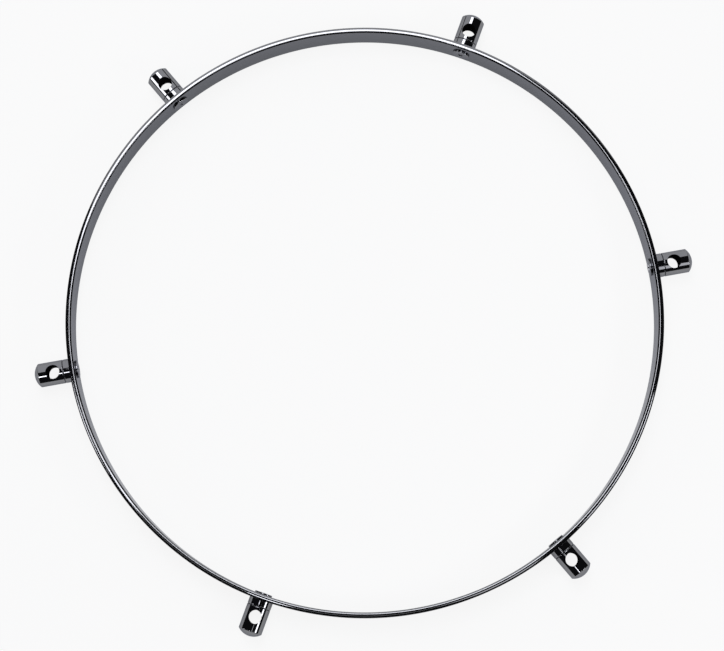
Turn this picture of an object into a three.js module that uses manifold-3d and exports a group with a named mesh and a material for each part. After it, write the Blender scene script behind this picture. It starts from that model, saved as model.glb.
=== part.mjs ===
// A flat counterhoop for a fourteen inch timbale-style drum, with six tube lugs.
// The hoop is a steel strap rolled on edge and joined into a ring. Each lug is a round barrel
// that stands out from the ring and is drilled upright for a tension rod. A collar spaces the
// barrel off the strap. The barrel's spigot passes through the collar and the strap, two flats
// on it keep the rod's hole upright, and a low screw from inside the ring draws it all together.
// Millimetres, +Z up. The origin is on the hoop's axis, in the plane of its lower edge, and the
// first lug points along +X. Along a lug, x is the distance from the hoop's axis.
import * as THREE from "three";
import { mergeVertices } from "three/addons/utils/BufferGeometryUtils.js";
import Module from "manifold-3d";

const wasm = await Module();
wasm.setup();

// The strap: its inner radius as a ring, its wall, its height and the radius of its edges.
const HOOP_INNER_RADIUS = 182.4;
const STRAP_THICKNESS = 3.5;
const STRAP_HEIGHT = 21.6;
const STRAP_EDGE_RADIUS = 1.2;
// The largest share of the strap's wall that one edge's rounding can take.
const EDGE_LIMIT_SHARE = 0.4;

// The collar that spaces a barrel off the strap. It has the barrel's outer radius.
const COLLAR_LENGTH = 3.7;

// The barrel's upright hole for the tension rod, and the metal between it and the shoulder.
const ROD_HOLE_RADIUS = 4.3;
const ROD_HOLE_WALL = 2.2;

// The barrel: the metal on both sides of the rod's hole, the length from shoulder to tip, and
// how far the outer end is domed.
const BARREL_WALL = 3.1;
const BARREL_LENGTH = 18.6;
const DOME_RISE = 3.1;

// The spigot on the barrel's inner end: its wall around the tapped hole, the depth of its two
// flats, and how far its end stays behind the strap's inner face, so that the screw clamps the
// strap and not the spigot.
const SPIGOT_WALL = 1.5;
const SPIGOT_FLAT_DEPTH = 0.7;
const SPIGOT_SETBACK = 0.4;

// The screw: its shank, the bevel on its tip, and its low head, which laps over the strap all
// round the spigot's hole.
const SCREW_RADIUS = 2.5;
const SCREW_TIP_BEVEL = 0.5;
const SCREW_HEAD_OVERLAP = 0.85;
const SCREW_HEAD_HEIGHT = 0.8;
const SCREW_HEAD_BEVEL = 0.25;

// The cross recess in the screw's head. Each screw stops at a turn of its own.
const RECESS_SPAN = 4;
const RECESS_WIDTH = 1.1;
const RECESS_DEPTH = 1.3;
const SCREW_TURN_STEP = THREE.MathUtils.degToRad(37);

// The tapped hole ends this far past the screw's tip, and this much metal short of the rod's hole.
const TAPPED_HOLE_RUNOUT = 1;
const TAPPED_HOLE_WALL = 1.1;

// The bevel on both rims of the seam between collar and barrel.
const SEAM_BEVEL = 0.3;

// The clearance between two pieces that seat on or fit into each other, and the overrun of a cut.
const SEAT_GAP = 0.3;
const CUT_OVERRUN = 2;

const LUG_COUNT = 6;
const HOOP_SEGMENTS = 120;
const ROUND_SEGMENTS = 28;
const SCREW_SEGMENTS = 24;
const EDGE_STEPS = 2;
const DOME_STEPS = 5;

const hoopOuterRadius = HOOP_INNER_RADIUS + STRAP_THICKNESS;
const lugHeight = STRAP_HEIGHT / 2;
const barrelRadius = ROD_HOLE_RADIUS + BARREL_WALL;
const collarSeat = hoopOuterRadius + SEAT_GAP;
const shoulder = collarSeat + COLLAR_LENGTH + SEAT_GAP;
const rodHoleStart = shoulder + ROD_HOLE_WALL;
const tappedHoleRadius = SCREW_RADIUS + SEAT_GAP;
const tappedHoleEnd = rodHoleStart - TAPPED_HOLE_WALL;
const screwEnd = tappedHoleEnd - TAPPED_HOLE_RUNOUT;
const spigotRadius = tappedHoleRadius + SPIGOT_WALL;
const spigotHoleRadius = spigotRadius + SEAT_GAP;
const spigotEnd = HOOP_INNER_RADIUS + SPIGOT_SETBACK;
const screwHeadRadius = spigotHoleRadius + SCREW_HEAD_OVERLAP;
// A flat head seats on the ring's hollow inner face at its two sides.
const headSeat = Math.sqrt(HOOP_INNER_RADIUS ** 2 - screwHeadRadius ** 2) - SEAT_GAP;

const strapChrome = new THREE.MeshStandardMaterial({ color: 0xc4c5c7, metalness: 1, roughness: 0.09 });
const lugChrome = new THREE.MeshStandardMaterial({ color: 0xc6c7c9, metalness: 1, roughness: 0.05 });
const collarChrome = new THREE.MeshStandardMaterial({ color: 0xc3c4c6, metalness: 1, roughness: 0.08 });
const screwChrome = new THREE.MeshStandardMaterial({ color: 0xbfc0c2, metalness: 1, roughness: 0.14 });

// A closed geometry as a solid that can be joined and cut.
function solidFrom(geometry) {
  geometry.deleteAttribute("normal");
  geometry.deleteAttribute("uv");
  const merged = mergeVertices(geometry);
  return new wasm.Manifold(
    new wasm.Mesh({
      numProp: 3,
      vertProperties: merged.attributes.position.array,
      triVerts: new Uint32Array(merged.index.array),
    }),
  );
}

// The solid's faces as a geometry, flat shaded.
function geometryFrom(solid) {
  const mesh = solid.getMesh();
  const indexed = new THREE.BufferGeometry();
  indexed.setAttribute("position", new THREE.BufferAttribute(mesh.vertProperties, mesh.numProp));
  indexed.setIndex(new THREE.BufferAttribute(mesh.triVerts, 1));
  const geometry = indexed.toNonIndexed();
  geometry.computeVertexNormals();
  return geometry;
}

// A profile of [radius, distance] pairs turned about the X axis, with distance along +X.
function turnedAboutX(profile, segments) {
  const points = profile.map(([radius, distance]) => new THREE.Vector2(radius, distance));
  return new THREE.LatheGeometry(points, segments).rotateZ(-Math.PI / 2);
}

// The points of an arc about a centre, from one angle to another, both ends included.
function arcPoints(centreRadius, centreDistance, radius, from, to, steps) {
  return Array.from({ length: steps + 1 }, (_, i) => {
    const angle = from + ((to - from) * i) / steps;
    return [centreRadius + radius * Math.cos(angle), centreDistance + radius * Math.sin(angle)];
  });
}

// A round bar with an upright flat on both sides, lying along +X from its origin.
function flattedBar(radius, length) {
  const flatAngle = Math.asin((radius - SPIGOT_FLAT_DEPTH) / radius);
  const section = new THREE.Shape();
  section.absarc(0, 0, radius, -flatAngle, flatAngle, false);
  section.absarc(0, 0, radius, Math.PI - flatAngle, Math.PI + flatAngle, false);
  section.closePath();
  const settings = { depth: length, bevelEnabled: false, curveSegments: ROUND_SEGMENTS / 4 };
  return new THREE.ExtrudeGeometry(section, settings).rotateY(Math.PI / 2);
}

// The strap's section, a rectangle with rounded edges, turned about the hoop's axis.
function strapRing() {
  const edge = Math.min(STRAP_EDGE_RADIUS, EDGE_LIMIT_SHARE * STRAP_THICKNESS);
  const inner = HOOP_INNER_RADIUS + edge;
  const outer = hoopOuterRadius - edge;
  const low = edge;
  const high = STRAP_HEIGHT - edge;
  const quarter = Math.PI / 2;
  const outline = [
    ...arcPoints(inner, low, edge, 2 * quarter, 3 * quarter, EDGE_STEPS),
    ...arcPoints(outer, low, edge, 3 * quarter, 4 * quarter, EDGE_STEPS),
    ...arcPoints(outer, high, edge, 0, quarter, EDGE_STEPS),
    ...arcPoints(inner, high, edge, quarter, 2 * quarter, EDGE_STEPS),
  ];
  const points = [...outline, outline[0]].map(([radius, height]) => new THREE.Vector2(radius, height));
  return new THREE.LatheGeometry(points, HOOP_SEGMENTS).rotateX(Math.PI / 2);
}

// The hoop with a flatted hole for each spigot.
function makeHoop() {
  const hole = flattedBar(spigotHoleRadius, STRAP_THICKNESS + 2 * CUT_OVERRUN);
  hole.translate(HOOP_INNER_RADIUS - CUT_OVERRUN, 0, lugHeight);
  let hoop = solidFrom(strapRing());
  for (let lug = 0; lug < LUG_COUNT; lug++) {
    hoop = hoop.subtract(solidFrom(hole.clone().rotateZ((2 * Math.PI * lug) / LUG_COUNT)));
  }
  return geometryFrom(hoop);
}

// The collar, bored for the spigot. Its inner end is dished to the ring's outer face.
function makeCollar() {
  const dish = collarSeat - Math.sqrt(collarSeat ** 2 - barrelRadius ** 2);
  const start = collarSeat - dish - CUT_OVERRUN;
  const end = collarSeat + COLLAR_LENGTH;
  const blank = turnedAboutX(
    [
      [spigotHoleRadius, start],
      [barrelRadius, start],
      [barrelRadius, end - SEAM_BEVEL],
      [barrelRadius - SEAM_BEVEL, end],
      [spigotHoleRadius, end],
      [spigotHoleRadius, start],
    ],
    ROUND_SEGMENTS,
  );
  const ringSpace = new THREE.CylinderGeometry(
    collarSeat,
    collarSeat,
    2 * (barrelRadius + CUT_OVERRUN),
    HOOP_SEGMENTS,
  ).rotateX(Math.PI / 2);
  return geometryFrom(solidFrom(blank).subtract(solidFrom(ringSpace)));
}

// The barrel with its domed end, its spigot, the rod's hole and the tapped hole for the screw.
function makeBarrel() {
  const domeRadius = (barrelRadius ** 2 + DOME_RISE ** 2) / (2 * DOME_RISE);
  const tip = shoulder + BARREL_LENGTH;
  const domeStart = Math.asin((domeRadius - DOME_RISE) / domeRadius);
  const dome = arcPoints(0, tip - domeRadius, domeRadius, domeStart, Math.PI / 2, DOME_STEPS);
  const body = turnedAboutX(
    [
      [0, shoulder],
      [barrelRadius - SEAM_BEVEL, shoulder],
      [barrelRadius, shoulder + SEAM_BEVEL],
      ...dome.slice(0, -1),
      [0, tip],
    ],
    ROUND_SEGMENTS,
  );
  const spigot = flattedBar(spigotRadius, shoulder + SEAM_BEVEL - spigotEnd);
  spigot.translate(spigotEnd, 0, 0);
  const rodHoleLength = 2 * (barrelRadius + CUT_OVERRUN);
  const rodHole = new THREE.CylinderGeometry(
    ROD_HOLE_RADIUS,
    ROD_HOLE_RADIUS,
    rodHoleLength,
    ROUND_SEGMENTS,
  ).rotateX(Math.PI / 2);
  rodHole.translate(rodHoleStart + ROD_HOLE_RADIUS, 0, 0);
  const tappedHole = turnedAboutX(
    [
      [0, spigotEnd - CUT_OVERRUN],
      [tappedHoleRadius, spigotEnd - CUT_OVERRUN],
      [tappedHoleRadius, tappedHoleEnd],
      [0, tappedHoleEnd],
    ],
    SCREW_SEGMENTS,
  );
  const barrel = solidFrom(body)
    .add(solidFrom(spigot))
    .subtract(solidFrom(rodHole))
    .subtract(solidFrom(tappedHole));
  return geometryFrom(barrel);
}

// The screw, its head inside the ring and its shank pointing outwards.
function makeScrew() {
  const headFace = headSeat - SCREW_HEAD_HEIGHT;
  const blank = turnedAboutX(
    [
      [0, headFace],
      [screwHeadRadius - SCREW_HEAD_BEVEL, headFace],
      [screwHeadRadius, headFace + SCREW_HEAD_BEVEL],
      [screwHeadRadius, headSeat],
      [SCREW_RADIUS, headSeat],
      [SCREW_RADIUS, screwEnd - SCREW_TIP_BEVEL],
      [SCREW_RADIUS - SCREW_TIP_BEVEL, screwEnd],
      [0, screwEnd],
    ],
    SCREW_SEGMENTS,
  );
  const slotStart = headFace - CUT_OVERRUN;
  const slotLength = RECESS_DEPTH + CUT_OVERRUN;
  const slot = new THREE.BoxGeometry(slotLength, RECESS_SPAN, RECESS_WIDTH);
  slot.translate(slotStart + slotLength / 2, 0, 0);
  const crossSlot = slot.clone().rotateX(Math.PI / 2);
  return geometryFrom(solidFrom(blank).subtract(solidFrom(slot)).subtract(solidFrom(crossSlot)));
}

const hoop = new THREE.Group();

const strap = new THREE.Mesh(makeHoop(), strapChrome);
strap.name = "hoop_strap";
hoop.add(strap);

const collarGeometry = makeCollar();
const barrelGeometry = makeBarrel();
const screwGeometry = makeScrew();

// One lug: collar, barrel and screw on one line square to the ring.
for (let lug = 0; lug < LUG_COUNT; lug++) {
  const pieces = [
    ["lug_collar", collarGeometry, collarChrome],
    ["lug_barrel", barrelGeometry, lugChrome],
    ["lug_screw", screwGeometry, screwChrome],
  ];
  const lugGroup = new THREE.Group();
  lugGroup.rotation.z = (2 * Math.PI * lug) / LUG_COUNT;
  lugGroup.position.z = lugHeight;
  for (const [name, geometry, material] of pieces) {
    const mesh = new THREE.Mesh(geometry, material);
    mesh.name = `${name}_${lug + 1}`;
    if (name === "lug_screw") mesh.rotation.x = SCREW_TURN_STEP * lug;
    lugGroup.add(mesh);
  }
  hoop.add(lugGroup);
}

export default hoop;
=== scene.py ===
# %% [markdown]
# # A chromed drum hoop
# The object is the counterhoop of a fourteen inch timbale-style drum. A steel strap is rolled on
# edge into a ring, and six round lugs stand out from it, each with an upright hole for a tension
# rod. Everything is bright chrome, so the picture is made by what the metal mirrors as much as by
# its shape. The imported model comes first, because every piece below sits on it.

import math

import bmesh
import bpy
from mathutils import Matrix, Vector


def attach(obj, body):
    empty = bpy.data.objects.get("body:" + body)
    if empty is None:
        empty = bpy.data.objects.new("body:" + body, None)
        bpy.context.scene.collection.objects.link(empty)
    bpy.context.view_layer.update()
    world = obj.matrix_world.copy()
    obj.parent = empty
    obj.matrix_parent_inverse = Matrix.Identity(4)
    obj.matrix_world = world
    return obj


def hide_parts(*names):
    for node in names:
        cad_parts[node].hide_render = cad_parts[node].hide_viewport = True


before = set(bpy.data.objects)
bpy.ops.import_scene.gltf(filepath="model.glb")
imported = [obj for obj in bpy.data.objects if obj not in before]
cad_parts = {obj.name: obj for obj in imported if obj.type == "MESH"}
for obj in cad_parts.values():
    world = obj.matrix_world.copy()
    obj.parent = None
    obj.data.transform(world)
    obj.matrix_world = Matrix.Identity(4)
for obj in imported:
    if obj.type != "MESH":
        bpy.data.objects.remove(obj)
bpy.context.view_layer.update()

# %% [markdown]
# ## Sizes of the strap
# Each size belongs to one piece of the real hoop and is written once, in millimetres times MM.
# The strap's edges are the part that the eye reads first: a wide soft bevel outside and a
# narrower, steeper one inside, with a flat crest between them. A plain rounded edge would mirror
# the same room in quite other stripes. The two bevels were found from those stripes.

# %% Sizes of the strap
MM = 0.001

STRAP_INNER_RADIUS = 182.4 * MM
STRAP_WALL = 3.5 * MM
STRAP_HEIGHT = 21.6 * MM
OUTER_BEVEL_WIDTH = 1.14 * MM
INNER_BEVEL_WIDTH = 0.81 * MM
BEVEL_DEPTH = 0.9 * MM
OUTER_CREST_RADIUS = 1.6 * MM
INNER_CREST_RADIUS = 0.75 * MM
BEVEL_FOOT_RADIUS = 0.2 * MM

strap_outer_radius = STRAP_INNER_RADIUS + STRAP_WALL
strap_middle_height = STRAP_HEIGHT / 2
crest = STRAP_WALL - OUTER_BEVEL_WIDTH - INNER_BEVEL_WIDTH
print("strap", round(2 * strap_outer_radius / MM, 1), "mm across, crest", round(crest / MM, 2), "mm")

# %% [markdown]
# ## Sizes of the lugs
# A lug is a barrel, a collar between it and the strap, and a screw from inside. Its barrel steps
# down to a spigot that passes through collar and strap and takes the screw. What seats on another
# piece is worked out from that piece, so that a change carries through. Along a lug, x is the
# distance from the hoop's axis. A lug is drawn about the X axis, and is lifted to the strap's
# middle height when it is set round the ring.

# %% Sizes of the lugs
ROD_HOLE_RADIUS = 4.3 * MM
ROD_HOLE_WALL = 2.2 * MM
BARREL_WALL = 3.1 * MM
BARREL_LENGTH = 18.6 * MM
DOME_RISE = 3.1 * MM
DOME_CORNER_RADIUS = 0.5 * MM

COLLAR_LENGTH = 3.7 * MM
SEAM_BEVEL = 0.3 * MM
SEAM_CORNER_RADIUS = 0.45 * MM
SEAT_GAP = 0.3 * MM
CONTACT_GAP = 0.02 * MM

SCREW_RADIUS = 2.5 * MM
SCREW_HEAD_OVERLAP = 0.85 * MM
SCREW_HEAD_HEIGHT = 0.8 * MM
SCREW_HEAD_CORNER_RADIUS = 0.3 * MM
SCREW_HEAD_CROWN = 0.12 * MM
SCREW_TIP_BEVEL = 0.5 * MM
SCREW_TURN = math.radians(37)
TAPPED_HOLE_RUNOUT = 1.0 * MM
TAPPED_HOLE_WALL = 1.1 * MM
SPIGOT_WALL = 1.5 * MM
SPIGOT_FLAT_DEPTH = 0.7 * MM
SPIGOT_SETBACK = 0.4 * MM
RECESS_SPAN = 4.0 * MM
RECESS_WIDTH = 1.1 * MM
RECESS_DEPTH = 1.3 * MM
RECESS_FLOOR_SHARE = 0.45

CUT_OVERRUN = 2.0 * MM
LUG_COUNT = 6

barrel_radius = ROD_HOLE_RADIUS + BARREL_WALL
collar_end = strap_outer_radius + SEAT_GAP + COLLAR_LENGTH
shoulder = collar_end + SEAT_GAP
barrel_tip = shoulder + BARREL_LENGTH
rod_hole_centre = shoulder + ROD_HOLE_WALL + ROD_HOLE_RADIUS
tapped_hole_radius = SCREW_RADIUS + SEAT_GAP
tapped_hole_end = shoulder + ROD_HOLE_WALL - TAPPED_HOLE_WALL
screw_end = tapped_hole_end - TAPPED_HOLE_RUNOUT
spigot_radius = tapped_hole_radius + SPIGOT_WALL
spigot_hole_radius = spigot_radius + SEAT_GAP
spigot_end = STRAP_INNER_RADIUS + SPIGOT_SETBACK
screw_head_radius = spigot_hole_radius + SCREW_HEAD_OVERLAP
screw_seat = math.sqrt(STRAP_INNER_RADIUS**2 - screw_head_radius**2)
screw_face = screw_seat - SEAT_GAP - SCREW_HEAD_HEIGHT
print("lug tip at", round(barrel_tip / MM, 2), "mm, rod hole at", round(rod_hole_centre / MM, 2), "mm")

# %% [markdown]
# ## The camera
# A still of a flat object hides its camera well. The ring's two edges and the six lugs give it
# away: the inner face shows most at the top of the picture, so the camera stands below the middle
# and leans. The values here are that solved camera, as the ring's own turns and shifts before a
# camera that looks straight down. The camera then takes the opposite turn, and the ring stays put.

# %% Set the camera where the photograph was taken
PICTURE_WIDTH = 724
SENSOR_WIDTH = 36.0
FOCAL_PIXELS = 1871.1
FARTHEST_SEEN = 100.0
CAMERA_LEAN_TURNS = (math.radians(-9.313), math.radians(-0.529), math.radians(10.15))
CAMERA_PLACE = Vector((-1.649, -2.981, 1182.5)) * MM

lean_x, lean_y, turn_z = CAMERA_LEAN_TURNS
to_camera = (
    Matrix.Rotation(lean_x, 3, "X") @ Matrix.Rotation(lean_y, 3, "Y") @ Matrix.Rotation(turn_z, 3, "Z")
)
camera = bpy.data.objects.new("camera", bpy.data.cameras.new("camera"))
camera.data.sensor_width = SENSOR_WIDTH
camera.data.lens = FOCAL_PIXELS / PICTURE_WIDTH * SENSOR_WIDTH
camera.data.clip_end = FARTHEST_SEEN
camera.matrix_world = Matrix.LocRotScale(
    to_camera.transposed() @ CAMERA_PLACE, to_camera.transposed().to_quaternion(), None
)
bpy.context.scene.collection.objects.link(camera)
bpy.context.scene.camera = camera
print("camera at", tuple(round(value, 3) for value in camera.location), "lens", round(camera.data.lens, 1))

# %% [markdown]
# ## Node trees as Python
# Materials and Geometry Nodes are both graphs of nodes. Clicking them together is slow to read
# back, so two small classes build them here. A Wire is one socket's value, and it adds,
# multiplies and divides as a number does, each time with one Math node.

# %% A socket that works like a number
class Wire:
    """The value that one output socket carries."""

    def __init__(self, graph, socket):
        self.graph = graph
        self.socket = socket

    def __add__(self, other):
        return self.graph.maths("ADD", self, other)

    def __sub__(self, other):
        return self.graph.maths("SUBTRACT", self, other)

    def __rsub__(self, other):
        return self.graph.maths("SUBTRACT", other, self)

    def __mul__(self, other):
        return self.graph.maths("MULTIPLY", self, other)

    def __truediv__(self, other):
        return self.graph.maths("DIVIDE", self, other)

    def __mod__(self, other):
        return self.graph.maths("FLOORED_MODULO", self, other)

    __radd__ = __add__
    __rmul__ = __mul__

    def of(self, name):
        """Another output of the node that this value comes from."""
        found = [s for s in self.socket.node.outputs if name in (s.identifier, s.name)]
        return Wire(self.graph, found[0])


print("a Wire can", ", ".join(name.strip("_") for name in ("__add__", "__sub__", "__mul__", "__mod__")))

# %% [markdown]
# A Graph is the tree itself. Its one method for nodes takes a node's type, the settings that
# change its sockets, which have to come first, and then what goes into the sockets: a plain
# value, a Wire, or a list of Wires where a socket takes several.

# %% A graph that is built node by node
class Graph:
    """A node tree that is emptied and then built node by node."""

    def __init__(self, tree):
        self.tree = tree
        tree.nodes.clear()

    def node(self, kind, settings=None, sockets=None):
        """Adds a node and returns its first output in use."""
        made = self.tree.nodes.new(kind)
        for name, value in (settings or {}).items():
            setattr(made, name, value)
        for name, value in (sockets or {}).items():
            socket = next(s for s in made.inputs if name in (s.identifier, s.name) and s.enabled)
            for each in value if isinstance(value, list) else [value]:
                self.fill(socket, each)
        return Wire(self, next((s for s in made.outputs if s.enabled), None)) if made.outputs else None

    def fill(self, socket, value):
        """Links a Wire to a socket, or writes a plain value on it."""
        if isinstance(value, Wire):
            self.tree.links.new(value.socket, socket)
        else:
            socket.default_value = value

    def maths(self, operation, *values):
        """One Math node."""
        names = ("Value", "Value_001", "Value_002")
        return self.node("ShaderNodeMath", {"operation": operation}, dict(zip(names, values)))


def vector(graph, x, y, z):
    """Three numbers as one vector."""
    return graph.node("ShaderNodeCombineXYZ", {}, {"X": x, "Y": y, "Z": z})


print("Graph is ready")

# %% [markdown]
# ## The table
# The hoop lies on a plain white table. In the picture that white comes from the paint's own
# answer to camera rays, and not from more light, which would burn out the chrome. Mirrored rays
# see part of it too, so that the strap's walls reflect a pale table, and all other rays meet
# ordinary matt paint, which keeps the hoop's soft shadow.

# %% Lay the table
TABLE_SIZE = 24.0
TABLE_TONE = (0.9, 0.9, 0.9, 1.0)
WHITE = (1.0, 1.0, 1.0, 1.0)
SEEN_WHITE_SHARE = 0.88
MIRRORED_WHITE_SHARE = 0.39


def table_paint():
    """Matt paint that camera rays, and less so mirrored rays, see as white."""
    material = bpy.data.materials.new("table_paint")
    material.use_nodes = True
    graph = Graph(material.node_tree)
    ray = graph.node("ShaderNodeLightPath")
    seen = (ray.of("Is Camera Ray") + ray.of("Is Transmission Ray")) * SEEN_WHITE_SHARE
    mirrored = ray.of("Is Glossy Ray") * MIRRORED_WHITE_SHARE
    paint = graph.node("ShaderNodeBsdfDiffuse", {}, {"Color": TABLE_TONE})
    white = graph.node("ShaderNodeEmission", {}, {"Color": WHITE, "Strength": 1.0})
    mixed = {"Fac": seen + mirrored, "Shader": paint, "Shader_001": white}
    top = graph.node("ShaderNodeMixShader", {}, mixed)
    graph.node("ShaderNodeOutputMaterial", {}, {"Surface": top})
    return material


half_table = TABLE_SIZE / 2
table_mesh = bpy.data.meshes.new("table_top")
table_turns = [(-1, -1), (1, -1), (1, 1), (-1, 1)]
table_mesh.from_pydata([(x * half_table, y * half_table, 0) for x, y in table_turns], [], [(0, 1, 2, 3)])
table_mesh.materials.append(table_paint())
table_top = bpy.data.objects.new("table_top", table_mesh)
bpy.context.scene.collection.objects.link(table_top)
print("table", TABLE_SIZE, "m square at the hoop's lower edge")

# %% [markdown]
# ## The room
# Chrome has almost no colour of its own, and shows the room. The lugs are six small cylindrical
# mirrors that point six ways, so between them they map the room that the photograph was taken in:
# dark all round, one pale wall beyond the hoop, a bright box high above it, and a few smaller
# lights. Each is a soft box at its bearing, far enough away to look alike from every lug. It is
# given by its brightness, and its power follows from its area.

# %% Hang the soft boxes
ROOM_TONE = (0.012, 0.012, 0.014, 1.0)
BACKDROP_SHARE = 0.96
LAMP_TINT = (0.94, 0.95, 1.0)
SOFT_BOXES = {
    "far_wall": {
        "bearing": 102, "tilt": 63, "spin": 30, "wide": 79, "tall": 64, "distance": 1.7, "glow": 0.8,
    },
    "high_box": {
        "bearing": 103, "tilt": 17, "spin": -6, "wide": 23, "tall": 31, "distance": 1.7, "glow": 5.0,
    },
    "near_box": {
        "bearing": 245, "tilt": 31, "spin": 2, "wide": 5, "tall": 15, "distance": 1.9, "glow": 7.0,
    },
    "near_strip": {
        "bearing": 247, "tilt": 28, "spin": -7, "wide": 42, "tall": 6, "distance": 1.8, "glow": 0.9,
    },
    "near_glow": {
        "bearing": 303, "tilt": 36, "spin": 0, "wide": 12, "tall": 36, "distance": 1.8, "glow": 1.4,
    },
    "left_box": {
        "bearing": 193, "tilt": 67, "spin": -19, "wide": 14, "tall": 18, "distance": 1.6, "glow": 5.0,
    },
    "right_box": {
        "bearing": 338, "tilt": 58, "spin": 2, "wide": 26, "tall": 13, "distance": 1.0, "glow": 6.0,
    },
}


def hang_soft_box(name, bearing, tilt, spin, wide, tall, distance, glow):
    """A soft box as the hoop's middle sees it. Bearing is in the picture, from its right side, and
    tilt from straight up. Spin is about the line to the hoop, and all five angles are degrees."""
    around = math.radians(bearing) - turn_z
    down = math.radians(tilt)
    out = Vector((math.sin(down) * math.cos(around), math.sin(down) * math.sin(around), math.cos(down)))
    light = bpy.data.lights.new(name, "AREA")
    light.shape = "RECTANGLE"
    light.size = 2 * distance * math.tan(math.radians(wide) / 2)
    light.size_y = 2 * distance * math.tan(math.radians(tall) / 2)
    light.energy = glow * math.pi * light.size * light.size_y
    light.color = LAMP_TINT
    lamp = bpy.data.objects.new(name, light)
    facing = out.to_track_quat("Z", "Y").to_matrix() @ Matrix.Rotation(math.radians(spin), 3, "Z")
    lamp.matrix_world = Matrix.LocRotScale(out * distance, facing.to_quaternion(), None)
    lamp.visible_camera = False
    bpy.context.scene.collection.objects.link(lamp)


for name, box in SOFT_BOXES.items():
    hang_soft_box(name, **box)
print(len(SOFT_BOXES), "soft boxes")

# %% [markdown]
# What the soft boxes leave is nearly black, as a studio is behind its lamps. Camera rays that
# pass the table's edge, in a view from low down, see a white backdrop there instead.

# %% Darken the rest of the room
room = bpy.data.worlds.new("dark_room")
room.use_nodes = True
room_graph = Graph(room.node_tree)
dark = room_graph.node("ShaderNodeBackground", {}, {"Color": ROOM_TONE, "Strength": 1.0})
backdrop = room_graph.node("ShaderNodeBackground", {}, {"Color": WHITE, "Strength": BACKDROP_SHARE})
camera_ray = room_graph.node("ShaderNodeLightPath").of("Is Camera Ray")
room_light = room_graph.node(
    "ShaderNodeMixShader", {}, {"Fac": camera_ray, "Shader": dark, "Shader_001": backdrop}
)
room_graph.node("ShaderNodeOutputWorld", {}, {"Surface": room_light})
bpy.context.scene.world = room
bpy.context.scene.view_settings.view_transform = "Standard"
print("room tone", ROOM_TONE[:3])

# %% [markdown]
# ## Where a point is on a lug
# The finishes below are patterns in space, read from Object coordinates. A lathe's marks run
# round each lug, so they need the place along and across that lug. One material serves all six:
# the angle round the hoop is folded into one sixth of a turn, and the hoop's own radius and that
# folded angle give along and across.

# %% Fold the hoop into one lug's own coordinates
def lug_coordinates(graph):
    """The place in Object coordinates, and along and across the nearest lug."""
    place = graph.node("ShaderNodeTexCoord").of("Object")
    x = graph.node("ShaderNodeSeparateXYZ", {}, {"Vector": place})
    y = x.of("Y")
    around = graph.maths("ARCTAN2", y, x)
    radius = graph.maths("SQRT", x * x + y * y)
    step = 2 * math.pi / LUG_COUNT
    folded = (around + step / 2) % step - step / 2
    return {
        "place": place,
        "x": x,
        "y": y,
        "z": x.of("Z"),
        "radius": radius,
        "along": radius * graph.maths("COSINE", folded),
        "across": radius * graph.maths("SINE", folded),
    }


print("one lug spans", 360 / LUG_COUNT, "degrees of the hoop")

# %% [markdown]
# ## The polisher's lines
# Polishing and turning leave lines far finer than a pixel, which show only as a direction in the
# gloss. Round noise turns into such lines when its coordinate is stretched the long way. The
# strap's run with it, a lug's run round it, and a screw's head has the lathe's rings. The
# figures are in turns of noise for each metre.

# %% Stretch the noise along each piece
LINES_LENGTHWAYS = 14.0
LINES_CROSSWAYS = 2600.0
TURNING_LENGTHWAYS = 60.0
TURNING_CROSSWAYS = 5200.0


def lines_along_strap(graph, at):
    """Slow round the ring, fast up it and through it."""
    around_x = at["x"] / at["radius"] * LINES_LENGTHWAYS
    around_y = at["y"] / at["radius"] * LINES_LENGTHWAYS
    return vector(graph, around_x, around_y, (at["z"] + at["radius"]) * LINES_CROSSWAYS)


def lines_round_lug(graph, at):
    """Fast along the lug, slow round it."""
    across = at["across"] * TURNING_LENGTHWAYS
    return vector(graph, at["along"] * TURNING_CROSSWAYS, across, at["z"] * TURNING_LENGTHWAYS)


def rings_on_head(graph, at):
    """Fast out from the screw's own axis."""
    rise = at["z"] - strap_middle_height
    reach = graph.maths("SQRT", at["across"] * at["across"] + rise * rise)
    return vector(graph, reach * TURNING_CROSSWAYS, at["along"] * TURNING_LENGTHWAYS, 0.0)


print("lines", round(1 / LINES_CROSSWAYS / MM, 2), "and", round(1 / TURNING_CROSSWAYS / MM, 2), "mm apart")

# %% [markdown]
# ## Where the plate ends, and where shade is painted
# Plating current hardly reaches into a deep hole, so the wall of a rod's hole stays unplated and
# rough. Its near-black colour is painted shade, the dark that a deep hole holds. The strap's inner
# face is plated well, but it gets less buffing than the outside, so it is rougher, and its darker
# tone is painted shade, the shaded table beside the wall that it mirrors. Each is a mask, 1 on the
# hole's wall or on the inner face and 0 elsewhere.

# %% Mask the rod holes and the inner face
ROD_HOLE_MARGIN = 0.12 * MM
BEVEL_FADE_SHARE = 0.25


def ramp(graph, value, low, high):
    """A straight rise from 0 to 1 between two values, held flat outside them."""
    limits = {"Value": value, "From Min": low, "From Max": high}
    return graph.node("ShaderNodeMapRange", {"clamp": True}, limits)


def in_rod_hole(graph, at):
    """1 on the wall of the rod's hole, fading to 0 over a small margin outside it."""
    off = at["along"] - rod_hole_centre
    reach = graph.maths("SQRT", off * off + at["across"] * at["across"])
    return 1 - ramp(graph, reach, ROD_HOLE_RADIUS + ROD_HOLE_MARGIN / 2, ROD_HOLE_RADIUS + ROD_HOLE_MARGIN)


def on_inner_face(graph, at):
    """1 on the strap's inner face, fading to 0 by the middle of its bevel."""
    fade = INNER_BEVEL_WIDTH * BEVEL_FADE_SHARE
    return 1 - ramp(graph, at["radius"], STRAP_INNER_RADIUS + fade, STRAP_INNER_RADIUS + 2 * fade)


print("bare steel ends", round(ROD_HOLE_MARGIN / MM, 2), "mm outside a rod hole's wall")
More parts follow.
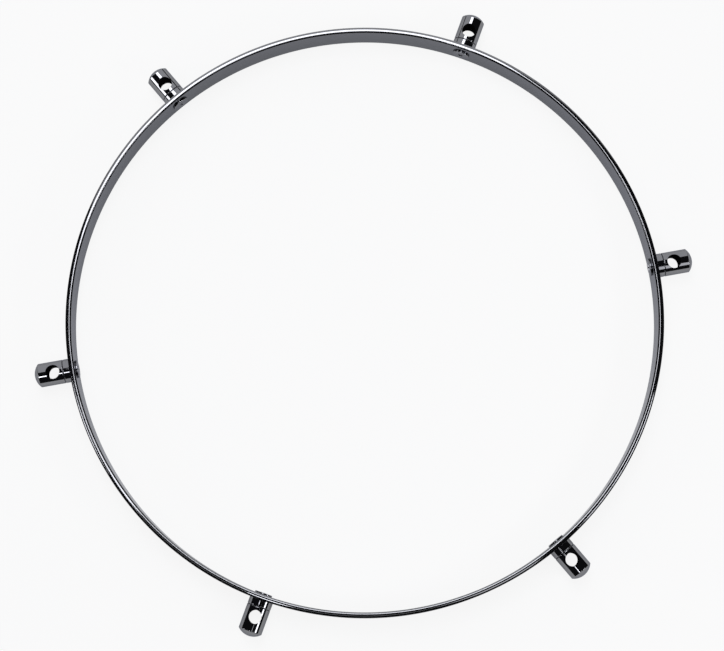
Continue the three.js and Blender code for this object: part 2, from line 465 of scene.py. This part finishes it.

# %% [markdown]
# ## Chrome
# Chrome plate is a thin bright metal over polished steel. What tells it from a computer's mirror
# is small: the lines above, a slow waviness that bends long reflections, and a film of haze where
# hands have been. Haze lifts the roughness in soft patches, the lines lift it along one
# direction, and lines and waves feed a very shallow bump. A mirror brightens towards its edges
# however dark it is, so the unplated wall of a rod's hole is a shader of its own, mixed in where
# the plate ends, and its near-black colour is painted shade. A darker tone on the strap's inner
# face is painted shade too. Every finish is this one recipe.

# %% The chrome recipe
CHROME_COLOUR = (0.272, 0.274, 0.282)
CHROME_EDGE_TINT = (0.55, 0.56, 0.6, 1.0)
TONE_SHARES = (0.93, 1.06)
HAZE_SCALE = 28.0
HAZE_DETAIL = 3.0
HAZE_BAND = (0.48, 0.72)
WAVE_SCALE = 110.0
WAVE_DETAIL = 2.0
WAVE_HEIGHT = 0.012 * MM
LINE_DETAIL = 4.0
LINE_COARSENESS = 0.65
LINE_BAND = (0.5, 0.8)
LINE_HEIGHT = 0.0004 * MM
# Near black: painted shade for the deep rod hole, over an unplated, rough wall.
SHADED_BARE_STEEL = {
    "Base Color": (0.009, 0.009, 0.01, 1.0),
    "Roughness": 0.6,
    "Specular IOR Level": 0.0,
}


def noise(graph, place, scale, detail, coarseness=0.5):
    """Blender's noise, from 0 to 1."""
    settings = {"Vector": place, "Scale": scale, "Detail": detail, "Roughness": coarseness}
    return graph.node("ShaderNodeTexNoise", {}, settings)


def chrome_shade(share):
    """A share of chrome's own colour."""
    return (*(value * share for value in CHROME_COLOUR), 1.0)


def mixed_colour(graph, mix, first, second):
    """The first colour where mix is 0, and the second where it is 1."""
    sockets = {"Factor_Float": mix, "A_Color": first, "B_Color": second}
    return graph.node("ShaderNodeMix", {"data_type": "RGBA"}, sockets).of("Result_Color")


def metal(graph, tone, rough, height):
    """The plate's own shader, over a shallow bump."""
    bump = graph.node("ShaderNodeBump", {}, {"Height": height, "Distance": 1.0, "Strength": 1.0})
    sockets = {
        "Base Color": tone,
        "Metallic": 1.0,
        "Roughness": rough,
        "Specular Tint": CHROME_EDGE_TINT,
        "Normal": bump,
    }
    return graph.node("ShaderNodeBsdfPrincipled", {}, sockets)


def chrome(
    name, roughness, haze, lines, lines_on, dull_and_shaded_on=None, painted_shade_share=1.0, dull_rise=0.0, bare_and_shaded_on=None
):
    """Chrome with haze and lines. On one mask it is rougher and painted darker, as shade; on the
    other the unplated wall is painted near black, as shade.
    """
    material = bpy.data.materials.new(name)
    material.use_nodes = True
    graph = Graph(material.node_tree)
    at = lug_coordinates(graph)
    cloud = noise(graph, at["place"], HAZE_SCALE, HAZE_DETAIL)
    waves = noise(graph, at["place"], WAVE_SCALE, WAVE_DETAIL)
    streaks = noise(graph, lines_on(graph, at), scale=1.0, detail=LINE_DETAIL, coarseness=LINE_COARSENESS)
    rough = roughness + ramp(graph, cloud, *HAZE_BAND) * haze + ramp(graph, streaks, *LINE_BAND) * lines
    clear, hazy = (chrome_shade(share) for share in TONE_SHARES)
    tone = mixed_colour(graph, cloud, clear, hazy)
    if dull_and_shaded_on:
        dull_and_shaded = dull_and_shaded_on(graph, at)
        rough = rough + dull_and_shaded * dull_rise
        # On this mask the darker tone is painted shade; the rise in roughness is the real, less buffed
        # polish.
        tone = mixed_colour(graph, dull_and_shaded, tone, chrome_shade(painted_shade_share))
    shader = metal(graph, tone, rough, waves * WAVE_HEIGHT + streaks * LINE_HEIGHT)
    # The rod hole's wall is painted near black, as the shade inside a deep hole.
    if bare_and_shaded_on:
        bare_and_shaded = graph.node("ShaderNodeBsdfPrincipled", {}, SHADED_BARE_STEEL)
        parts = {"Fac": bare_and_shaded_on(graph, at), "Shader": shader, "Shader_001": bare_and_shaded}
        shader = graph.node("ShaderNodeMixShader", {}, parts)
    graph.node("ShaderNodeOutputMaterial", {}, {"Surface": shader})
    return material


print("chrome recipe is ready")

# %% [markdown]
# ## Four finishes
# Strap, barrel, collar and screw are plated together, but not polished alike. Barrels come
# brightest from the wheel, the strap is buffed by hand along its length, and a screw head keeps
# the most of its turning rings and its handling. The rod holes are painted nearly black, as shade,
# and the strap's inner face is painted a little darker, as the shaded table that it mirrors.

# %% Mix the four finishes
strap_chrome = chrome(
    "strap_chrome",
    roughness=0.05,
    haze=0.06,
    lines=0.05,
    lines_on=lines_along_strap,
    # Less buffed, so rougher, and painted a little darker, as the shaded table that the inner face mirrors.
    dull_and_shaded_on=on_inner_face,
    painted_shade_share=0.9,
    dull_rise=0.06,
)
barrel_chrome = chrome(
    "barrel_chrome",
    roughness=0.03,
    haze=0.05,
    lines=0.04,
    lines_on=lines_round_lug,
    # Painted shade: the rod hole's wall is near black.
    bare_and_shaded_on=in_rod_hole,
)
collar_chrome = chrome("collar_chrome", roughness=0.04, haze=0.05, lines=0.05, lines_on=lines_round_lug)
screw_chrome = chrome("screw_chrome", roughness=0.07, haze=0.06, lines=0.06, lines_on=rings_on_head)
print("finishes:", [finish.name for finish in (strap_chrome, barrel_chrome, collar_chrome, screw_chrome)])

# %% [markdown]
# ## A section with eased corners
# Everything on this hoop is drawn as a section first, and no corner of a real section is quite
# sharp. On chrome it is the tiny round of a corner that catches the light. So each corner is
# given with its own radius, and one function turns it into an arc between its two sides.

# %% Turn corners into arcs
def rounded_section(corners, steps):
    """Corners as (x, y, corner radius), with each corner that has a radius turned into an arc."""
    path = []
    for index, (x, y, radius) in enumerate(corners):
        here = Vector((x, y))
        if not radius:
            path.append(here)
            continue
        before = (Vector(corners[index - 1][:2]) - here).normalized()
        after = (Vector(corners[index + 1][:2]) - here).normalized()
        half_angle = before.angle(after) / 2
        centre = here + (before + after).normalized() * (radius / math.sin(half_angle))
        start = here + before * (radius / math.tan(half_angle)) - centre
        end = here + after * (radius / math.tan(half_angle)) - centre
        sweep = start.angle_signed(end)
        for step in range(steps + 1):
            path.append(centre + Matrix.Rotation(-sweep * step / steps, 2) @ start)
    return path


square_corner = [(0, 1, 0), (0, 0, MM), (1, 0, 0)]
print("a right angle eased by 1 mm:", len(rounded_section(square_corner, steps=4)), "points")

# %% [markdown]
# ## The strap's section
# A strip mill rolls the flat bar with its edges eased, because a drummer's hands and sticks meet
# them. The section is drawn for the upper half and mirrored for the lower one. It could be a
# Bevel modifier on a plain ring, but a bevel has one width, and here the two sides differ.

# %% Draw the strap's section
STRAP_CORNER_STEPS = 8


def strap_section():
    """The strap's section about the middle of its wall and height. x is outwards and y is up."""
    wall, height = STRAP_WALL / 2, STRAP_HEIGHT / 2
    foot = height - BEVEL_DEPTH
    corners = [
        (-wall, 0, 0),
        (-wall, foot, BEVEL_FOOT_RADIUS),
        (INNER_BEVEL_WIDTH - wall, height, INNER_CREST_RADIUS),
        (wall - OUTER_BEVEL_WIDTH, height, OUTER_CREST_RADIUS),
        (wall, foot, BEVEL_FOOT_RADIUS),
        (wall, 0, 0),
    ]
    upper = rounded_section(corners, STRAP_CORNER_STEPS)
    lower = [Vector((x, -y)) for x, y in reversed(upper[1:-1])]
    return upper + lower


def outline_object(name, points):
    """An object whose mesh is a closed outline."""
    mesh = bpy.data.meshes.new(name)
    edges = [(index, (index + 1) % len(points)) for index in range(len(points))]
    mesh.from_pydata([(x, y, 0) for x, y in points], edges, [])
    outline = bpy.data.objects.new(name, mesh)
    bpy.context.scene.collection.objects.link(outline)
    return outline


section_outline = outline_object("strap_section", strap_section())
print("strap section:", len(section_outline.data.vertices), "points")

# %% [markdown]
# ## Helpers for Geometry Nodes
# A Geometry Nodes tree is a recipe that a modifier runs, and its inputs are its sizes. Blender
# stores each input under the socket's identifier, and not under its name, so the helper looks the
# identifier up. When the recipe has run, the result is kept as a plain mesh in a new object.

# %% Make, run and keep a tree
def new_tree(name, inputs):
    """A Geometry Nodes tree with a geometry in and out, and named inputs of given kinds."""
    tree = bpy.data.node_groups.new(name, "GeometryNodeTree")
    tree.interface.new_socket("Geometry", in_out="INPUT", socket_type="NodeSocketGeometry")
    for label, kind in inputs.items():
        tree.interface.new_socket(label, in_out="INPUT", socket_type=f"NodeSocket{kind}")
    tree.interface.new_socket("Geometry", in_out="OUTPUT", socket_type="NodeSocketGeometry")
    return Graph(tree)


def run_tree(piece, graph, values):
    """Gives a piece the tree as a modifier and sets its inputs by their identifiers."""
    modifier = piece.modifiers.new(graph.tree.name, "NODES")
    modifier.node_group = graph.tree
    for item in graph.tree.interface.items_tree:
        if item.in_out == "INPUT" and item.name in values:
            modifier[item.identifier] = values[item.name]


def plain_mesh(piece, name):
    """The piece as its modifiers leave it, as a new object with a mesh of its own."""
    bpy.context.view_layer.update()
    evaluated = piece.evaluated_get(bpy.context.evaluated_depsgraph_get())
    mesh = bpy.data.meshes.new_from_object(evaluated)
    mesh.name = name
    bpy.data.objects.remove(piece)
    made = bpy.data.objects.new(name, mesh)
    bpy.context.scene.collection.objects.link(made)
    return made


print("tree helpers are ready")

# %% [markdown]
# ## Clean reflections
# A mirror shows every fault in a mesh's normals. Edges past thirty degrees stay sharp, so that a
# hole's rim doesn't bend the reflections in the face around it. Weighted Normal then makes the
# large faces win at each corner that stays smooth, and the narrow ones take up the bend.

# %% Keep edges sharp and faces true
SHARP_ANGLE = math.radians(30)


def smooth_but_sharp(graph, mesh):
    """Smooth faces, with the edges past the sharp angle left sharp."""
    faces = graph.node("GeometryNodeSetShadeSmooth", {"domain": "FACE"}, {"Geometry": mesh})
    angle = graph.node("GeometryNodeInputMeshEdgeAngle")
    sharp = graph.maths("GREATER_THAN", angle, SHARP_ANGLE)
    chosen = {"Geometry": faces, "Selection": sharp, "Shade Smooth": False}
    return graph.node("GeometryNodeSetShadeSmooth", {"domain": "EDGE"}, chosen)


def favour_large_faces(piece):
    """Normals that follow the large faces, so a rim doesn't bend the reflection in the wall."""
    weighted = piece.modifiers.new("normals", "WEIGHTED_NORMAL")
    weighted.mode = "FACE_AREA"
    weighted.keep_sharp = True


print("edges stay sharp past", round(math.degrees(SHARP_ANGLE)), "degrees")

# %% [markdown]
# ## What repeats round the hoop
# Six of everything stand round the ring: holes in the strap, barrels, collars and screws. One
# group of nodes serves them all. It sets points on a circle, puts a copy on each, turns each copy
# to face outwards and, for the screws, gives each its own turn about its own axis.

# %% Set copies round the ring
def set_round(graph, piece, count, distance, height, turn=0.0):
    """Copies of a piece, evenly round the Z axis, each turned a step more about its own X axis."""
    index = graph.node("GeometryNodeInputIndex")
    bearing = index * (2 * math.pi) / count
    x = graph.maths("COSINE", bearing) * distance
    y = graph.maths("SINE", bearing) * distance
    place = vector(graph, x, y, height)
    points = graph.node("GeometryNodePoints", {}, {"Count": count, "Position": place})
    rotation = vector(graph, index * turn, 0.0, bearing)
    spread = {"Points": points, "Instance": piece, "Rotation": rotation}
    copies = graph.node("GeometryNodeInstanceOnPoints", {}, spread)
    return graph.node("GeometryNodeRealizeInstances", {}, {"Geometry": copies})


def round_the_hoop_tree():
    """The tree that sets a lug's piece round the hoop and plates the copies."""
    kinds = {"Count": "Int", "Height": "Float", "Turn": "Float", "Chrome": "Material"}
    graph = new_tree("round_the_hoop", kinds)
    given = graph.node("NodeGroupInput")
    held = graph.node("GeometryNodeGeometryToInstance", {}, {"Geometry": given})
    copies = set_round(graph, held, given.of("Count"), 0.0, given.of("Height"), given.of("Turn"))
    plated = graph.node("GeometryNodeSetMaterial", {}, {"Geometry": copies, "Material": given.of("Chrome")})
    graph.node("NodeGroupOutput", {}, {"Geometry": plated})
    return graph


round_the_hoop = round_the_hoop_tree()
print("a screw's turn grows by", round(math.degrees(SCREW_TURN)), "degrees from lug to lug")

# %% [markdown]
# ## Rolling and drilling the strap
# A hoop maker feeds flat bar through three rolls until its ends meet, welds them and grinds the
# joint flush. Curve to Mesh does the same with the section and a circle. Each lug then needs a
# hole with two flats, which keep its barrel from turning. The hole's cutter is a round bar,
# trimmed by a slab of twice its length and height, and one Boolean takes all six out of the strap.

# %% The tree that rolls and drills the strap
SPIGOT_FACETS = 64
CUTTER_LENGTH_SHARE = 3
SLAB_SHARE = 2


def spigot_cutter(graph, radius, flat_depth, length):
    """A bar along X with an upright flat on both sides."""
    bar_sizes = {"Vertices": SPIGOT_FACETS, "Radius": radius, "Depth": length}
    bar = graph.node("GeometryNodeMeshCylinder", {}, bar_sizes)
    lying = graph.node("GeometryNodeTransform", {}, {"Geometry": bar, "Rotation": (0, math.pi / 2, 0)})
    slab_size = vector(graph, length * SLAB_SHARE, (radius - flat_depth) * 2, radius * (2 * SLAB_SHARE))
    slab = graph.node("GeometryNodeMeshCube", {}, {"Size": slab_size})
    trim = {"operation": "INTERSECT", "solver": "EXACT"}
    return graph.node("GeometryNodeMeshBoolean", trim, {"Mesh 2": [lying, slab]})


def rolled_strap(graph, size, middle):
    """The section carried round a circle at the wall's middle, and lifted to stand on the table."""
    circle = {"Resolution": size.of("Facets"), "Radius": middle}
    ring = graph.node("GeometryNodeCurvePrimitiveCircle", {}, circle)
    drawn = graph.node("GeometryNodeObjectInfo", {}, {"Object": size.of("Section")}).of("Geometry")
    outline = graph.node("GeometryNodeMeshToCurve", {}, {"Mesh": drawn})
    rolled = graph.node("GeometryNodeCurveToMesh", {}, {"Curve": ring, "Profile Curve": outline})
    lift = vector(graph, 0.0, 0.0, size.of("Height") / 2)
    return graph.node("GeometryNodeTransform", {}, {"Geometry": rolled, "Translation": lift})


def strap_tree():
    """The tree that rolls the strap, drills it and plates it."""
    kinds = {
        "Inner radius": "Float",
        "Wall": "Float",
        "Height": "Float",
        "Section": "Object",
        "Facets": "Int",
        "Hole radius": "Float",
        "Hole flat depth": "Float",
        "Lugs": "Int",
        "Chrome": "Material",
    }
    graph = new_tree("rolled_strap", kinds)
    size = graph.node("NodeGroupInput")
    length = size.of("Wall") * CUTTER_LENGTH_SHARE
    cutter = spigot_cutter(graph, size.of("Hole radius"), size.of("Hole flat depth"), length)
    middle = size.of("Inner radius") + size.of("Wall") / 2
    cutters = set_round(graph, cutter, size.of("Lugs"), middle, size.of("Height") / 2)
    drill = {"operation": "DIFFERENCE", "solver": "EXACT"}
    cut_from = {"Mesh 1": rolled_strap(graph, size, middle), "Mesh 2": cutters}
    drilled = graph.node("GeometryNodeMeshBoolean", drill, cut_from)
    shaded = smooth_but_sharp(graph, drilled)
    plated = graph.node("GeometryNodeSetMaterial", {}, {"Geometry": shaded, "Material": size.of("Chrome")})
    graph.node("NodeGroupOutput", {}, {"Geometry": plated})
    return graph


strap_recipe = strap_tree()
print("strap tree:", len(strap_recipe.tree.nodes), "nodes")

# %% [markdown]
# ## The strap
# Now the tree runs with the strap's own sizes. Half a degree to a facet is enough: the outline
# then departs from a true circle by two thousandths of a millimetre.

# %% Roll the strap
STRAP_FACETS = 720

strap_blank = bpy.data.objects.new("strap_blank", bpy.data.meshes.new("strap_blank"))
bpy.context.scene.collection.objects.link(strap_blank)
strap_sizes = {
    "Inner radius": STRAP_INNER_RADIUS,
    "Wall": STRAP_WALL,
    "Height": STRAP_HEIGHT,
    "Section": section_outline,
    "Facets": STRAP_FACETS,
    "Hole radius": spigot_hole_radius,
    "Hole flat depth": SPIGOT_FLAT_DEPTH,
    "Lugs": LUG_COUNT,
    "Chrome": strap_chrome,
}
run_tree(strap_blank, strap_recipe, strap_sizes)
favour_large_faces(strap_blank)
strap = plain_mesh(strap_blank, "polished_strap")
bpy.data.objects.remove(section_outline)
print("strap:", len(strap.data.polygons), "faces", [round(value / MM, 2) for value in strap.dimensions])

# %% [markdown]
# ## Turned pieces
# Barrel, collar and screw all start on a lathe. Each is drawn as half a section, with its corners
# eased, and a Screw modifier turns it about X. A mesh made of rings would do as well, but the
# modifier also welds the poles and points the faces outwards.

# %% Turn a half section
LATHE_STEPS = 192
LATHE_CORNER_STEPS = 4
WELD_REACH = 0.002 * MM


def turned(name, section):
    """An object whose mesh is the half section, with the modifier that turns it about X."""
    mesh = bpy.data.meshes.new(name)
    edges = [(index, index + 1) for index in range(len(section) - 1)]
    mesh.from_pydata([(x, y, 0) for x, y in section], edges, [])
    piece = bpy.data.objects.new(name, mesh)
    bpy.context.scene.collection.objects.link(piece)
    lathe = piece.modifiers.new("lathe", "SCREW")
    lathe.axis = "X"
    lathe.steps = LATHE_STEPS
    lathe.render_steps = LATHE_STEPS
    lathe.use_merge_vertices = True
    lathe.merge_threshold = WELD_REACH
    lathe.use_normal_calculate = True
    return piece


print("lathe steps:", LATHE_STEPS)

# %% [markdown]
# Holes, flats and dished ends are cut after turning, as they are on the bench. Each cutter is a
# pin or a block that overruns what it cuts, and a Boolean takes it away.

# %% Make the cutters
def solid(name, parts):
    """One cutter object from parts, each a function that adds to the mesh."""
    mesh = bpy.data.meshes.new(name)
    shape = bmesh.new()
    for add in parts:
        add(shape)
    bmesh.ops.recalc_face_normals(shape, faces=shape.faces)
    for face in shape.faces:
        face.smooth = True
    shape.to_mesh(mesh)
    shape.free()
    cutter = bpy.data.objects.new(name, mesh)
    bpy.context.scene.collection.objects.link(cutter)
    return cutter


def upright_pin(radius, x, half_length, steps):
    """A round pin along Z at a distance along the lug."""
    def add(shape):
        bmesh.ops.create_cone(
            shape,
            cap_ends=True,
            segments=steps,
            radius1=radius,
            radius2=radius,
            depth=2 * half_length,
            matrix=Matrix.Translation((x, 0, 0)),
        )
    return add


def block(low, high):
    """A block between two corners."""
    def add(shape):
        low_corner, high_corner = Vector(low), Vector(high)
        size = high_corner - low_corner
        place = Matrix.Translation((low_corner + high_corner) / 2) @ Matrix.Diagonal((*size, 1))
        bmesh.ops.create_cube(shape, size=1, matrix=place)
    return add


print("cutters overrun by", round(CUT_OVERRUN / MM, 1), "mm")

# %% [markdown]
# A deburring tool breaks the rim that each cut leaves, and here a Bevel modifier does. The long
# round wall of a lug is its largest mirror, so its corners get a cylinder's exact normals, and
# the cuts can't dent it.

# %% Finish one lug piece
RIM_BEVEL = 0.14 * MM
RIM_STEPS = 2
WALL_REACH = 0.01 * MM
WALL_MATCH_SHARE = 0.9995


def cut(piece, cutter):
    """Takes a cutter away from a piece."""
    modifier = piece.modifiers.new("cut", "BOOLEAN")
    modifier.operation = "DIFFERENCE"
    modifier.solver = "EXACT"
    modifier.object = cutter


def break_rims(piece):
    """A small bevel on every edge that is still sharp."""
    bevel = piece.modifiers.new("rims", "BEVEL")
    bevel.width = RIM_BEVEL
    bevel.segments = RIM_STEPS
    bevel.limit_method = "ANGLE"
    bevel.angle_limit = SHARP_ANGLE


def true_wall_normals(piece):
    """Corners of the round outside wall get the exact normal of a cylinder about X."""
    mesh = piece.data
    normals = [corner.vector.copy() for corner in mesh.corner_normals]
    for face in mesh.polygons:
        outwards = Vector((0, face.center.y, face.center.z))
        near_wall = outwards.length > barrel_radius - WALL_REACH
        if near_wall and face.normal.dot(outwards.normalized()) > WALL_MATCH_SHARE:
            for corner in face.loop_indices:
                place = mesh.vertices[mesh.loops[corner].vertex_index].co
                normals[corner] = Vector((0, place.y, place.z)).normalized()
    mesh.normals_split_custom_set(normals)


def finish_lug_piece(piece, cutter, name, finish, turn=0.0):
    """Cuts, breaks the rims, sets the copies round the hoop and keeps the plain mesh."""
    piece.data.materials.append(finish)
    cut(piece, cutter)
    break_rims(piece)
    favour_large_faces(piece)
    one = plain_mesh(piece, f"{name}_one")
    true_wall_normals(one)
    sizes = {"Count": LUG_COUNT, "Height": strap_middle_height, "Turn": turn, "Chrome": finish}
    run_tree(one, round_the_hoop, sizes)
    made = plain_mesh(one, name)
    bpy.data.objects.remove(cutter)
    finishes = [slot and slot.name for slot in made.data.materials]
    print(name, len(made.data.polygons), "faces, finished in", finishes)
    return made


print("rims are broken by", round(RIM_BEVEL / MM, 2), "mm")

# %% [markdown]
# ## The barrels
# A barrel is the part that takes the pull of a tension rod. Its outer end is a shallow dome with
# a soft corner, its inner end steps down to the spigot, and the rod's hole crosses it upright.

# %% Draw a barrel's half section
DOME_STEPS = 14
DOME_START_SHARE = 0.87


def dome_arc():
    """The dome from inside its soft corner to the tip."""
    dome_radius = (barrel_radius**2 + DOME_RISE**2) / (2 * DOME_RISE)
    dome_centre = barrel_tip - dome_radius
    rim_angle = math.asin(barrel_radius / dome_radius)
    arc = []
    for step in range(1, DOME_STEPS + 1):
        angle = rim_angle * (1 - step / DOME_STEPS)
        if angle < rim_angle * DOME_START_SHARE:
            arc.append((dome_centre + dome_radius * math.cos(angle), dome_radius * math.sin(angle), 0))
    return arc


def barrel_section():
    """From the bottom of the screw's hole, out round the spigot and along the wall to the tip."""
    hole = [(tapped_hole_end, 0, 0), (tapped_hole_end, tapped_hole_radius, 0)]
    spigot = [(spigot_end, tapped_hole_radius, 0), (spigot_end, spigot_radius, 0)]
    seam = [(shoulder, spigot_radius, 0), (shoulder, barrel_radius - SEAM_BEVEL, SEAM_CORNER_RADIUS)]
    wall = [
        (shoulder + SEAM_BEVEL, barrel_radius, SEAM_CORNER_RADIUS),
        (barrel_tip - DOME_RISE, barrel_radius, DOME_CORNER_RADIUS),
    ]
    return rounded_section(hole + spigot + seam + wall + dome_arc(), LATHE_CORNER_STEPS)


barrel_blank = turned("barrel_blank", barrel_section())
print("barrel section:", len(barrel_blank.data.vertices), "points")

# %% [markdown]
# The rod's hole is a pin through the barrel, and the spigot's two flats are blocks beside it.
# One cutter holds all three, so that one Boolean does the work.

# %% Drill the barrels and flatten their spigots
ROD_HOLE_FACETS = 96

flat = spigot_radius - SPIGOT_FLAT_DEPTH
flat_start = spigot_end - CUT_OVERRUN
barrel_cutter = solid(
    "barrel_cutter",
    [
        upright_pin(ROD_HOLE_RADIUS, rod_hole_centre, barrel_radius + CUT_OVERRUN, ROD_HOLE_FACETS),
        block((flat_start, flat, -barrel_radius), (shoulder, barrel_radius, barrel_radius)),
        block((flat_start, -barrel_radius, -barrel_radius), (shoulder, -flat, barrel_radius)),
    ],
)
barrels = finish_lug_piece(barrel_blank, barrel_cutter, "polished_barrels", barrel_chrome)

# %% [markdown]
# ## The collars
# A collar is a short tube of the barrel's width. Its outer end is bevelled, and so is the
# barrel's, which leaves the fine groove that the photograph shows. Its inner end is dished to the
# ring, so that the lug stands square.

# %% Turn the collars and dish their ends
collar_start = strap_outer_radius - CUT_OVERRUN
collar_face = shoulder - CONTACT_GAP
collar_corners = [
    (collar_start, spigot_hole_radius, 0),
    (collar_start, barrel_radius, 0),
    (collar_face - SEAM_BEVEL, barrel_radius, SEAM_CORNER_RADIUS),
    (collar_face, barrel_radius - SEAM_BEVEL, SEAM_CORNER_RADIUS),
    (collar_face, spigot_hole_radius, 0),
    (collar_start, spigot_hole_radius, 0),
]
collar_blank = turned("collar_blank", rounded_section(collar_corners, LATHE_CORNER_STEPS))
ring_pin = upright_pin(strap_outer_radius + CONTACT_GAP, 0, barrel_radius + CUT_OVERRUN, STRAP_FACETS)
collars = finish_lug_piece(collar_blank, solid("ring_space", [ring_pin]), "polished_collars", collar_chrome)

# %% [markdown]
# ## The screws
# Only the low heads show, inside the ring. Each has a slight crown, a rounded edge and a cross
# recess whose walls taper, as a driver's bit does, and each stopped at its own angle when it was
# driven home. The recess is a cutter of its own, a cross at its mouth and a smaller one at its
# floor.

# %% Draw the recess
RECESS_ARMS = 4
RECESS_MOUTH_LIFT = 0.01 * MM


def tapered_cross(x_mouth, x_floor):
    """A cross that narrows from its mouth to its floor."""
    def add(shape):
        wide, slim = RECESS_SPAN / 2, RECESS_WIDTH / 2
        arm = [(slim, wide), (slim, slim), (wide, slim)]
        outline = []
        for number in range(RECESS_ARMS):
            turn = Matrix.Rotation(-number * 2 * math.pi / RECESS_ARMS, 2)
            outline += [turn @ Vector(corner) for corner in arm]
        mouth = [shape.verts.new((x_mouth, *corner)) for corner in outline]
        floor = [shape.verts.new((x_floor, *(corner * RECESS_FLOOR_SHARE))) for corner in outline]
        shape.faces.new(mouth)
        shape.faces.new(floor)
        for index in range(len(outline)):
            after = (index + 1) % len(outline)
            shape.faces.new((mouth[index], mouth[after], floor[after], floor[index]))
    return add


recess = solid("recess", [tapered_cross(screw_face - RECESS_MOUTH_LIFT, screw_face + RECESS_DEPTH)])
print("recess:", len(recess.data.polygons), "faces")

# %% [markdown]
# The screw itself is one turned piece, from the middle of its head to the middle of its tip. The
# head falls away with the square of the distance from its middle, so by a quarter of the crown
# half way out. Its thread never shows, so its shank is plain.

# %% Turn the screws and press the recess
HALF_WAY_CROWN_SHARE = 0.25

screw_corners = [
    (screw_face, 0, 0),
    (screw_face + SCREW_HEAD_CROWN * HALF_WAY_CROWN_SHARE, screw_head_radius / 2, 0),
    (screw_face + SCREW_HEAD_CROWN, screw_head_radius, SCREW_HEAD_CORNER_RADIUS),
    (screw_seat - CONTACT_GAP, screw_head_radius, 0),
    (screw_seat - CONTACT_GAP, SCREW_RADIUS, 0),
    (screw_end - SCREW_TIP_BEVEL, SCREW_RADIUS, 0),
    (screw_end, SCREW_RADIUS - SCREW_TIP_BEVEL, 0),
    (screw_end, 0, 0),
]
screw_blank = turned("screw_blank", rounded_section(screw_corners, LATHE_CORNER_STEPS))
screws = finish_lug_piece(screw_blank, recess, "polished_screws", screw_chrome, SCREW_TURN)

# %% [markdown]
# ## Hand the pieces over
# Each polished piece stands for its CAD solids, which are hidden, and rides on the one rigid body.

# %% Replace the solids
def numbered(name):
    """The solids of one kind, one for each lug."""
    return [f"{name}_{number}" for number in range(1, LUG_COUNT + 1)]


HAND_OVER = [
    (strap, "strap", ["hoop_strap"]),
    (barrels, "barrel", numbered("lug_barrel")),
    (collars, "collar", numbered("lug_collar")),
    (screws, "screw", numbered("lug_screw")),
]
for piece, slot_name, nodes in HAND_OVER:
    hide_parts(*nodes)
    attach(piece, "root")
